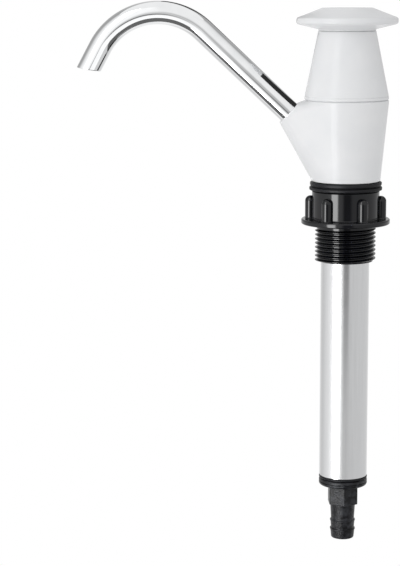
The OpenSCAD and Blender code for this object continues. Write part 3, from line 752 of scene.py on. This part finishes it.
socket_bore = turned("socket_bore", [
    (0, ledge_top), (SOCKET_R, ledge_top), (SOCKET_R, bore_top), (0, bore_top)])
combine(base, socket_bore, "DIFFERENCE")
dress(base, black_plastic, "base", "black_plastic", "base_fitting")

# %% [markdown]
# ## Barrel and foot ring
# The barrel is a length of drawn tube, cut square and deburred inside and out. Below it a thin rubber
# ring is pressed flat between the tube and the plug, and its edge stands out as a dark round line. A
# plain cylinder would have knife edges, so both are turned from outlines with broken corners.

# %% Barrel and foot ring
TUBE_WALL = 1.0
BORE_R = TUBE_R - TUBE_WALL
tube_end, tube_top = span("barrel_tube")
barrel = turned("barrel", rounded(
    (BORE_R, tube_end, 0.25), (TUBE_R, tube_end, 0.3), (TUBE_R, tube_top, 0.3), (BORE_R, tube_top, 0.25)))
dress(barrel, drawn_aluminium, "base", "barrel_aluminium", "barrel_tube")
foot_low, foot_high = span("foot_gasket")
foot_ring_r = half_width("foot_gasket")
foot_ring = turned("foot_ring", rounded(
    (BORE_R, foot_low, 0), (foot_ring_r, foot_low, 0.75), (foot_ring_r, foot_high, 0.75),
    (BORE_R, foot_high, 0)))
dress(foot_ring, rubber, "base", "rubber", "foot_gasket")

# %% [markdown]
# ## The foot plug
# One black moulding closes the barrel: a round rim, a hexagon for a spanner and a barbed tail for a hose,
# with the foot valve's seat inside. Rim, tail and bore are one turning, and a fine line is cut round the
# middle of the rim. A hexagon can't be turned, so it is a six-sided bar whose lower edges are bevelled as
# a mould would leave them, and it is joined to the turning. The barbs are placed by shares of the tail's
# length.

# %% Foot plug: rim, tail and bore
RIM_T, LINE_HALF, LINE_DEPTH = 4.0, 0.3, 0.45
HEX_H, HEX_AF, HEX_COVER = 11.5, 15.7, 0.6
BARB_R, BARB_DIP, BARB_BACK, BARB_LAND, BARB_SHARES = 7.0, 0.57, 0.25, 0.6, (0.466, 0.723)
TAIL_TRIM, TAIL_DROP, TIP_R = 0.05, 0.2, 6.3
INLET_R, ROOM_R, CAGE_R, SEAT_FOOT, SEAT_TOP = 4.4, 8.0, 9.6, 13.38, 7.14
plug_foot, plug_top = span("foot_plug")
plug_r, insert_r = half_width("foot_plug"), BORE_R - FIT
cage_low = span("ball_cage")[0]
rim_top = foot_low
rim_foot, rim_line = rim_top - RIM_T, rim_top - RIM_T / 2
hex_foot = rim_foot - HEX_H
outline = [
    (INLET_R, plug_foot, 0.3), (INLET_R, cage_low - SEAT_FOOT, 0), (ROOM_R, cage_low - SEAT_TOP, 0),
    (ROOM_R, cage_low, 0), (CAGE_R, cage_low, 0), (CAGE_R, plug_top, 0.2), (insert_r, plug_top, 0.4),
    (insert_r, rim_top, 0), (plug_r, rim_top, 1.1), (plug_r, rim_line + LINE_HALF, 0.1),
    (plug_r - LINE_DEPTH, rim_line, 0.05), (plug_r, rim_line - LINE_HALF, 0.1), (plug_r, rim_foot, 1.2),
    (HEX_AF / 2 - HEX_COVER, rim_foot, 0), (BARB_R - TAIL_TRIM, hex_foot - TAIL_DROP, 0.1)]
for share in BARB_SHARES:
    barb = hex_foot - (hex_foot - plug_foot) * share
    outline += [
        (BARB_R - BARB_DIP, barb + BARB_LAND / 2, 0.1), (BARB_R, barb, 0.1),
        (BARB_R, barb - BARB_LAND, 0.1), (BARB_R - BARB_BACK, barb - BARB_LAND * 3 / 2, 0.1)]
plug = turned("plug_moulding", rounded(*outline, (TIP_R, plug_foot, 0.6)))
print("plug turning:", len(plug.data.polygons), "faces")

# %% Foot plug: hexagon
HEX_SIDES, HEX_TURN, HEX_LIFT, HEX_EDGE, EDGE_STEPS = 6, math.radians(31.6), 0.3, 0.45, 4
corner_r = HEX_AF / 2 / math.cos(math.pi / HEX_SIDES) * MM
mesh = bmesh.new()
bmesh.ops.create_cone(mesh, cap_ends=True, segments=HEX_SIDES, radius1=corner_r, radius2=corner_r,
                      depth=HEX_H * MM)
bmesh.ops.rotate(mesh, verts=mesh.verts, matrix=Matrix.Rotation(HEX_TURN + FRONT, 3, "Z"))
bmesh.ops.translate(mesh, verts=mesh.verts, vec=(0, 0, (hex_foot + HEX_H / 2 + HEX_LIFT) * MM))
near_foot = (hex_foot + HEX_H / 2) * MM
lower_edges = [e for e in mesh.edges if min(v.co.z for v in e.verts) < near_foot]
bmesh.ops.bevel(mesh, geom=lower_edges, offset=HEX_EDGE * MM, segments=EDGE_STEPS, profile=0.5,
                affect="EDGES")
hexagon = settle(mesh, "hexagon")
way_r, way_foot, way_top = INLET_R + CUT_PAST, hex_foot - CUT_PAST, rim_foot + CUT_PAST
way = turned("way", [(0, way_foot), (way_r, way_foot), (way_r, way_top), (0, way_top)])
combine(hexagon, way, "DIFFERENCE")
combine(plug, hexagon, "UNION")
dress(plug, plug_plastic, "base", "black_plastic", "foot_plug")

# %% [markdown]
# ## The rod and the pieces inside
# Lift the knob and the bright rod shows, so it is turned anew with broken ends and the clip's groove.
# Everything else is out of sight in the barrel and the head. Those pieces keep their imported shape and
# only take a finish, by their slot.

# %% Rod
TAIL_R, CLIP_GROOVE = 3.0, 0.7
rod_foot, rod_head = span("piston_rod")
stop_low, stop_high = span("valve_stop_clip")
piston_high = span("piston")[1]
clip_r, clip_low, clip_high = ROD_R - CLIP_GROOVE, stop_low - FIT, stop_high + FIT
rod = turned("plunger_rod", rounded(
    (0, rod_foot, 0), (TAIL_R, rod_foot, 0.4), (TAIL_R, piston_high, 0), (ROD_R, piston_high, 0),
    (ROD_R, clip_low, 0), (clip_r, clip_low, 0), (clip_r, clip_high, 0), (ROD_R, clip_high, 0),
    (ROD_R, rod_head, 0.4), (0, rod_head, 0)))
dress(rod, stainless, "plunger", "stainless_steel", "piston_rod")

# %% Inner pieces
inner = {"rubber": rubber, "stainless_steel": stainless, "spring_steel": spring_steel, "acetal": acetal,
         "piston_plastic": piston_plastic}
dressed = 0
for subpart in frame["record"]["subparts"]:
    node = frame["nodes"][subpart["node"]]
    if not node.hide_render and subpart["material_slot"] in inner:
        node.data.materials.clear()
        node.data.materials.append(inner[subpart["material_slot"]])
        dressed += 1
print("inner pieces with a finish:", dressed)

# %% [markdown]
# ## Floor and backdrop
# A product portrait stands before white paper. More light would make any paper white, but it would bleach
# the pump too. So the sky is white for the camera and for mirrors, and gives a calmer light to the
# surfaces. The floor below is pale and catches the pump's shadow, and it fades into the white paper
# further out, so that no edge of it shows.

# %% Sky
SKY_FILL = 0.735
scene = bpy.context.scene
world = bpy.data.worlds.new("white_paper")
scene.world = world
world.use_nodes = True


def seen_directly(owner):
    """1 for rays from the camera, from mirrors and through clear things, and 0 for the rest."""
    rays = add(owner, "ShaderNodeLightPath").outputs
    mirrors = reckon(owner, "MAXIMUM", rays["Is Glossy Ray"], rays["Is Transmission Ray"])
    return reckon(owner, "MAXIMUM", rays["Is Camera Ray"], mirrors)


sky = world.node_tree.nodes["Background"]
sky.inputs["Color"].default_value = (1, 1, 1, 1)
sky_strength = between(world, seen_directly(world), SKY_FILL, 1.0, start=0, end=1)
world.node_tree.links.new(sky_strength, sky.inputs["Strength"])
print("sky fill", SKY_FILL)

# %% Floor
FLOOR_DROP, FLOOR_R, FADE_START, FADE_END, FADE_LEAST = 0.060, 0.9, 0.03, 0.11, 0.25
paper, surface = new_finish("paper", Roughness=0.9)
paper_tone = tint(paper, grain(paper, 30, detail=4), (0.86, 0.86, 0.86), (0.90, 0.90, 0.90))
connect(paper, surface, Base_Color=paper_tone)
place = add(paper, "ShaderNodeTexCoord").outputs["Object"]
distance = add(paper, "ShaderNodeVectorMath", {0: place}, operation="LENGTH").outputs["Value"]
fade_out = between(paper, distance, FADE_LEAST, 1.0, FADE_START, FADE_END)
amount = reckon(paper, "MULTIPLY", seen_directly(paper), fade_out)
white = add(paper, "ShaderNodeEmission", {"Strength": 1.0}).outputs[0]
blend = add(paper, "ShaderNodeMixShader", {0: amount, 1: surface.outputs[0], 2: white})
paper.node_tree.links.new(blend.outputs[0], paper.node_tree.nodes["Material Output"].inputs["Surface"])
mesh = bmesh.new()
bmesh.ops.create_circle(mesh, cap_ends=True, segments=TURN_STEPS, radius=FLOOR_R)
floor = settle(mesh, "floor")
floor.location.z = solid_low[2] - FLOOR_DROP
floor.data.materials.append(paper)
floor.visible_glossy = False
floor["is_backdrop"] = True
print("floor at", round(floor.location.z, 4), "m")

# %% [markdown]
# ## Studio wall
# Chrome, bare tube and black gloss have no colour of their own: they show the room. Lamps and boards
# could be set up one by one. A tall round wall that only mirrors can see keeps the bands of the
# reflection in short lists instead. Its glow is written as stops of bearing and brightness, with 0
# degrees at the camera and the right hand positive. The lower part has a bright strip of lamp on the
# left, a dark gap at the camera and calm grey on the right, as a small studio has. The gap grows paler
# towards the foot and ends above the spout. The upper part has a weaker strip, and is pale in front and
# dim on both sides further back.

# %% Studio wall: its glow
LOW_WALL = ((-180, 1.0), (-131, 0.70), (-105, 0.84), (-84, 0.98), (-66, 1.15), (-54, 1.6), (-50, 10.5),
            (-33, 10.5), (-28, 1.3), (-16, 0.98), (-8, 0.22), (10, 0.22), (20, 0.70), (90, 0.73),
            (130, 0.75), (180, 1.0))
HIGH_WALL = ((-180, 0.8), (-150, 0.5), (-115, 0.38), (-99, 0.55), (-85, 0.85), (-60, 1.15), (-54, 1.2),
             (-50, 5.0), (-33, 5.0), (-28, 1.15), (-14, 1.15), (-6, 0.55), (9, 0.55), (15, 0.85), (25, 1.0),
             (60, 0.95), (85, 0.82), (99, 0.55), (115, 0.4), (150, 0.5), (180, 0.8))
FOOT_GAP, TOP_GAP = (-12, 12, 0.66), (-10, 16, 1.0)
FOOT_FADE, HIGH_FADE, TOP_FADE = (-0.16, -0.32), (-0.07, -0.01), (0.12, 0.34)


def regapped(stops, first, last, level):
    """The same stops with one level for all that lie between two bearings."""
    return [(bearing, level if first < bearing < last else glow) for bearing, glow in stops]


def bare_finish(name):
    """A material without any nodes yet."""
    finish = bpy.data.materials.new(name)
    finish.use_nodes = True
    finish.node_tree.nodes.clear()
    return finish


wall_paint = bare_finish("wall_paint")
place = add(wall_paint, "ShaderNodeTexCoord").outputs["Object"]
compass = add(wall_paint, "ShaderNodeTexGradient", {"Vector": place}, gradient_type="RADIAL").outputs["Fac"]
height = add(wall_paint, "ShaderNodeSeparateXYZ", {"Vector": place}).outputs["Z"]
print("studio wall with", len(LOW_WALL), "and", len(HIGH_WALL), "stops")

# %% Studio wall: its paint
def by_compass(stops):
    """The wall's glow round the compass, from bearings in degrees."""
    ramp = add(wall_paint, "ShaderNodeValToRGB", {"Fac": compass})
    elements = ramp.color_ramp.elements
    while len(elements) < len(stops):
        elements.new(1.0)
    for element, (bearing, glow) in zip(elements, stops):
        element.position = bearing / 360 + 0.5
        element.color = (glow, glow, glow, 1)
    return ramp.outputs["Color"]


def by_height(below, above, start, end):
    """Goes from one glow to another between two heights."""
    return mixed(wall_paint, between(wall_paint, height, 0, 1, start, end), below, above)


glow = by_height(by_compass(LOW_WALL), by_compass(regapped(LOW_WALL, *FOOT_GAP)), *FOOT_FADE)
glow = by_height(glow, by_compass(HIGH_WALL), *HIGH_FADE)
glow = by_height(glow, by_compass(regapped(HIGH_WALL, *TOP_GAP)), *TOP_FADE)
shine = add(wall_paint, "ShaderNodeEmission", {"Color": glow, "Strength": 1.0})
add(wall_paint, "ShaderNodeOutputMaterial", {"Surface": shine.outputs[0]})
print("wall paint:", len(wall_paint.node_tree.nodes), "nodes")

# %% Studio wall: its mesh
WALL_R, WALL_LOW, WALL_HIGH = 0.9, -0.9, 1.3


def for_mirrors(thing):
    """Makes a piece of the studio visible in reflections alone."""
    thing.visible_camera = thing.visible_diffuse = thing.visible_shadow = thing.visible_transmission = False
    thing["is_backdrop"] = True


mesh = bmesh.new()
wall_lines = []
for step in range(TURN_STEPS):
    angle = math.tau * step / TURN_STEPS
    wall_lines.append([mesh.verts.new((WALL_R * math.cos(angle), WALL_R * math.sin(angle), z))
                       for z in (WALL_LOW, WALL_HIGH)])
for line, following in zip(wall_lines, wall_lines[1:] + wall_lines[:1]):
    mesh.faces.new((line[0], following[0], following[1], line[1]))
wall = settle(mesh, "studio_wall")
wall.rotation_euler.z = FRONT
wall.data.materials.append(wall_paint)
for_mirrors(wall)
print("studio wall", 2 * WALL_R, "m across")

# %% [markdown]
# ## Cards round the spout
# Polished pipe in white surroundings loses its shape, so studios hold cards near it, just out of the
# picture. A dark board lies low under the spout, wider at its right end, and draws the dark line along
# the pipe's inner side. A small black card between pipe and cap draws a streak on the pipe's upper side
# next to the head. A dark card behind the crest draws the thin line along the bend's outer edge. A white
# card in front of the outlet keeps the tip bright. Only their front sides glow, and their backs are
# clear.

# %% A card
CARD_GRAIN, CARD_MOTTLE = 20, 0.05


def card(name, glow, middle, turn, length, left_width, right_width):
    """A flat card with a nearly even glow in front, that only mirrors see. It may be wider at one end."""
    paint = bare_finish(name)
    darker, lighter = (glow * (1 - CARD_MOTTLE),) * 3, (glow * (1 + CARD_MOTTLE),) * 3
    tone = tint(paint, grain(paint, CARD_GRAIN), darker, lighter)
    shine = add(paint, "ShaderNodeEmission", {"Color": tone, "Strength": 1.0}).outputs[0]
    behind = add(paint, "ShaderNodeNewGeometry").outputs["Backfacing"]
    clear = add(paint, "ShaderNodeBsdfTransparent").outputs[0]
    front = add(paint, "ShaderNodeMixShader", {0: behind, 1: shine, 2: clear}).outputs[0]
    add(paint, "ShaderNodeOutputMaterial", {"Surface": front})
    mesh = bmesh.new()
    mesh.faces.new([mesh.verts.new((length / 2 * end, width / 2 * side, 0)) for end, side, width in (
        (-1, -1, left_width), (1, -1, right_width), (1, 1, right_width), (-1, 1, left_width))])
    piece = settle(mesh, name)
    piece.location = middle
    piece.rotation_euler = turn
    piece.data.materials.append(paint)
    for_mirrors(piece)
    print(name, "at", middle)


def facing(middle, aim, front="Z"):
    """The turn of a thing that is in one place and shows its front to another."""
    return (Vector(aim) - Vector(middle)).to_track_quat(front, "Y").to_euler()


print("cards vary by", CARD_MOTTLE, "of their glow")

# %% Cards round the spout
LOW_BOARD, LOW_BOARD_TURN = (-0.015, -0.33, -0.50), (0, 0, math.radians(-18))
CAP_CARD, CAP_CARD_TURN = (-0.025, 0, 0.0825), (0, -math.pi / 2, 0)
BACK_CARD, CREST = (-0.062, 0.080, 0.165), (-0.062, 0, 0.165)
TIP_CARD, OUTLET = (-0.104, -0.075, 0.055), (-0.139, 0, 0.090)
card("low_board", 0.15, LOW_BOARD, LOW_BOARD_TURN, length=1.4, left_width=0.32, right_width=1.65)
card("cap_card", 0.03, CAP_CARD, CAP_CARD_TURN, length=0.037, left_width=0.010, right_width=0.036)
card("back_card", 0.08, BACK_CARD, facing(BACK_CARD, CREST), length=0.075, left_width=0.06, right_width=0.16)
card("tip_card", 1.2, TIP_CARD, facing(TIP_CARD, OUTLET), length=0.06, left_width=0.034, right_width=0.07)

# %% [markdown]
# ## Light
# One large soft lamp stands to the left, in front of the pump, and models the white cones from light to
# grey. More lamps would cast more shadows, so the paper all round does the rest. Mirrors see the studio
# wall and not the lamp.

# %% Lamp
LAMP_PLACE, LAMP_AIM, LAMP_SIZE, LAMP_WATTS = (-1.05, -0.95, 0.35), (-0.05, 0, 0), (1.1, 1.3), 6.15
lamp_data = bpy.data.lights.new("left_lamp", "AREA")
lamp_data.shape = "RECTANGLE"
lamp_data.size, lamp_data.size_y = LAMP_SIZE
lamp_data.energy = LAMP_WATTS
lamp = bpy.data.objects.new("left_lamp", lamp_data)
lamp.location = LAMP_PLACE
lamp.rotation_euler = facing(LAMP_PLACE, LAMP_AIM, front="-Z")
lamp.visible_glossy = False
scene.collection.objects.link(lamp)
print("left_lamp at", LAMP_PLACE, LAMP_WATTS, "W")

# %% [markdown]
# ## Camera
# The portrait is taken from a little above, with a long lens so that the pump is hardly foreshortened. A
# matrix could be typed in, but here the camera's place follows from things that can be read: the point in
# the middle of the picture, the distance, the angle down and a trace of roll. The lens follows from the
# focal length in pixels, because the sensor's size lies along the picture's longer side.

# %% Camera
FOCAL_PX, IMAGE_H, SENSOR, CLIP_END = 1750.0, 566, 36.0, 50
MIDDLE = Vector((-79.81, 0, -32.91)) * MM
DISTANCE, LOOK_DOWN, ROLL = 964.6 * MM, math.radians(9.7), math.radians(-0.234)
camera_data = bpy.data.cameras.new("portrait")
camera_data.sensor_width = SENSOR
camera_data.lens = SENSOR * FOCAL_PX / IMAGE_H
camera_data.clip_end = CLIP_END
camera = bpy.data.objects.new("portrait", camera_data)
tilt = Matrix.Rotation(math.pi / 2 - LOOK_DOWN, 4, "X")
backwards = tilt.to_3x3() @ Vector((0, 0, DISTANCE))
camera.matrix_world = Matrix.Translation(MIDDLE + backwards) @ tilt @ Matrix.Rotation(ROLL, 4, "Z")
scene.collection.objects.link(camera)
scene.camera = camera
scene.view_settings.view_transform = "Standard"
print("camera at", [round(x, 4) for x in camera.location], "lens", round(camera_data.lens, 1), "mm")

# %% [markdown]
# ## Measure
# The finished pump is meant to match its solids in size and reach no further. The script prints how far
# its box reaches past the solids' box along each axis, in millimetres.

# %% Measure and finish
low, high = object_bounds()
grown = [max(a - b, d - c) / MM for a, b, c, d in zip(solid_low, low, solid_high, high)]
print("grown by", [round(side, 3) for side in grown], "mm")
